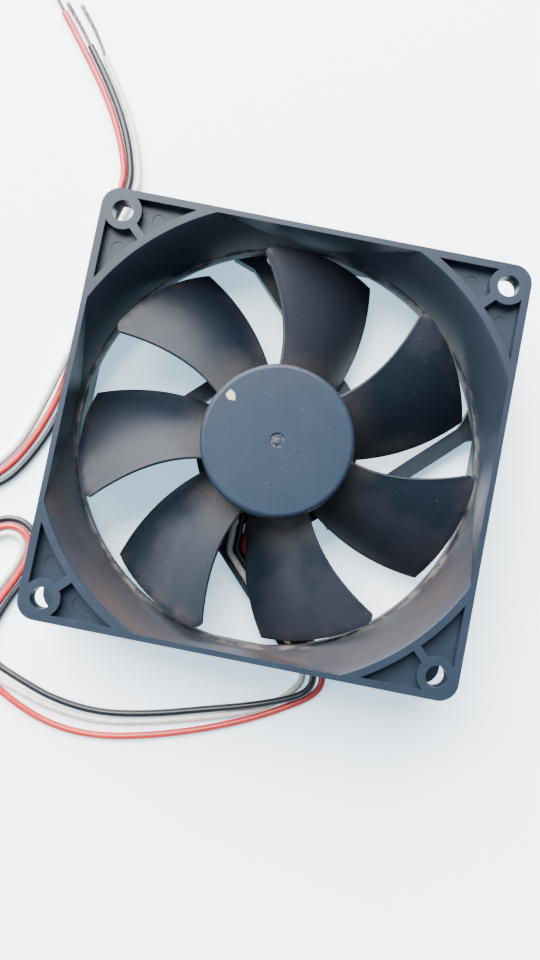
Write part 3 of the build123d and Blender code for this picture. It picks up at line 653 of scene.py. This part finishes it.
def strand_bundle(name, points, material):
    """Fine tinned strands twisted about a route, splaying a little towards the free end."""
    line = centreline(points)
    rng = random.Random(SEED + len(name))
    curve = bpy.data.curves.new(name, "CURVE")
    curve.dimensions = "3D"
    curve.bevel_depth = FINE_WIRE_R
    curve.bevel_resolution = 2
    curve.use_fill_caps = True
    for strand in range(FINE_WIRES):
        phase = 2 * math.pi * strand / FINE_WIRES
        reach = BUNDLE_CORE_R if strand % 3 == 0 else BUNDLE_OUTER_R
        splay = rng.uniform(0.0, MOST_SPLAY)
        stop = rng.uniform(SHORTEST_SHARE, 1.0)
        spline = curve.splines.new("POLY")
        spline.points.add(BUNDLE_STEPS - 1)
        for step, control in enumerate(spline.points):
            share = stop * step / (BUNDLE_STEPS - 1)
            at = share * (len(line) - 1)
            low = min(int(at), len(line) - 2)
            centre = line[low].lerp(line[low + 1], at - low)
            ahead = (line[low + 1] - line[low]).normalized()
            side = ahead.cross(Vector((0, 0, 1))).normalized()
            over = side.cross(ahead)
            spin = phase + 2 * math.pi * BUNDLE_TURNS * share
            out = reach + splay * share ** 2
            point = centre + side * (out * math.cos(spin)) + over * (out * math.sin(spin))
            point.z = max(point.z, FINE_WIRE_R)
            control.co = (*point, 1.0)
    piece = bpy.data.objects.new(name, curve)
    bpy.context.scene.collection.objects.link(piece)
    piece.data.materials.append(material)
    return piece


def loose_wire(colour):
    """One insulated wire from the window in the frame's side to its stripped end."""
    route = metres([EXITS[colour]] + WIRE_ROUTES[colour])
    wire = smooth_curve(f"insulation_{colour}", route, WIRE_R)
    wire.data.materials.append(MATERIALS[f"wire_{colour}"])
    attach(wire, HOUSING)
    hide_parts(f"wire_{colour}")

    bare_route = metres([WIRE_ROUTES[colour][-1]] + STRAND_ROUTES[colour])
    ends = strand_bundle(f"bare_end_{colour}", bare_route, MATERIALS["bare_strands"])
    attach(ends, HOUSING)
    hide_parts(f"strands_{colour}")


# ---------------------------------------------------------------- stage
CAMERA_AT = Vector((1.6, -18.7, 205.3)) * MM
CAMERA_AIM = Vector((0.1, -8.4, 25.0)) * MM
CAMERA_ROLL = math.radians(11.2)
CAMERA_LENS = 32.8
FLOOR_HALF_SIDE = 1.5
FLOOR_DROP = 0.02 * MM       # keeps the floor clear of the rear face
FLOOR_COLOUR = (0.88, 0.89, 0.90, 1.0)
FLOOR_GLOW = (0.46, 0.78, 1.0, 1.0)
WINDOW_LIGHT = {"at": (-0.68, 1.28, 1.10), "size": 2.6, "power": 440.0, "colour": (1.0, 0.99, 0.98)}
SIDE_LIGHT = {"at": (-1.15, -0.45, 0.70), "size": 1.2, "power": 14.0, "colour": (0.92, 0.96, 1.0)}
SKY_COLOUR = (0.62, 0.82, 1.0, 1.0)
SKY_STRENGTH = 0.75


def make_camera():
    """Hand-held view from above, turned a little about its own axis."""
    camera = bpy.data.cameras.new("camera")
    camera.lens = CAMERA_LENS
    camera.clip_start = 10.0 * MM
    holder = bpy.data.objects.new("camera", camera)
    bpy.context.scene.collection.objects.link(holder)
    back = (CAMERA_AT - CAMERA_AIM).normalized()
    right = Vector((math.cos(CAMERA_ROLL), math.sin(CAMERA_ROLL), 0.0))
    right = (right - back * right.dot(back)).normalized()
    up = back.cross(right)
    rotation = Matrix((right, up, back)).transposed().to_4x4()
    holder.matrix_world = Matrix.Translation(CAMERA_AT) @ rotation
    bpy.context.scene.camera = holder


def make_floor():
    """Plain pale surface that the fan and its wires lie on."""
    half = FLOOR_HALF_SIDE
    mesh = bpy.data.meshes.new("floor")
    corners = [(-half, -half, 0), (half, -half, 0), (half, half, 0), (-half, half, 0)]
    mesh.from_pydata(corners, [], [(0, 1, 2, 3)])
    floor = bpy.data.objects.new("floor", mesh)
    floor.location.z = -FLOOR_DROP
    bpy.context.scene.collection.objects.link(floor)
    g = Graph("floor_paper")
    g.set(Base_Color=FLOOR_COLOUR, Roughness=0.7, Emission_Color=FLOOR_GLOW, Emission_Strength=1.0)
    floor.data.materials.append(g.material)


def make_area_light(name, at, size, power, colour):
    """Round soft lamp that points at the fan."""
    light = bpy.data.lights.new(name, "AREA")
    light.shape = "DISK"
    light.size = size
    light.energy = power
    light.color = colour
    holder = bpy.data.objects.new(name, light)
    holder.location = at
    holder.rotation_euler = (-Vector(at)).to_track_quat("-Z", "Y").to_euler()
    bpy.context.scene.collection.objects.link(holder)


def make_light():
    """Bright soft daylight from beyond the fan, with a weak pale blue sky all round."""
    make_area_light("window", **WINDOW_LIGHT)
    make_area_light("side_fill", **SIDE_LIGHT)
    world = bpy.data.worlds.new("soft_sky")
    world.use_nodes = True
    sky = world.node_tree.nodes["Background"]
    sky.inputs["Color"].default_value = SKY_COLOUR
    sky.inputs["Strength"].default_value = SKY_STRENGTH
    bpy.context.scene.world = world


paint_cad_nodes()
for softened_node, edge_width in EDGE_WIDTHS.items():
    soften_edges(softened_node, edge_width)
for wire_colour_name in WIRE_COLOURS:
    loose_wire(wire_colour_name)
make_camera()
make_floor()
make_light()
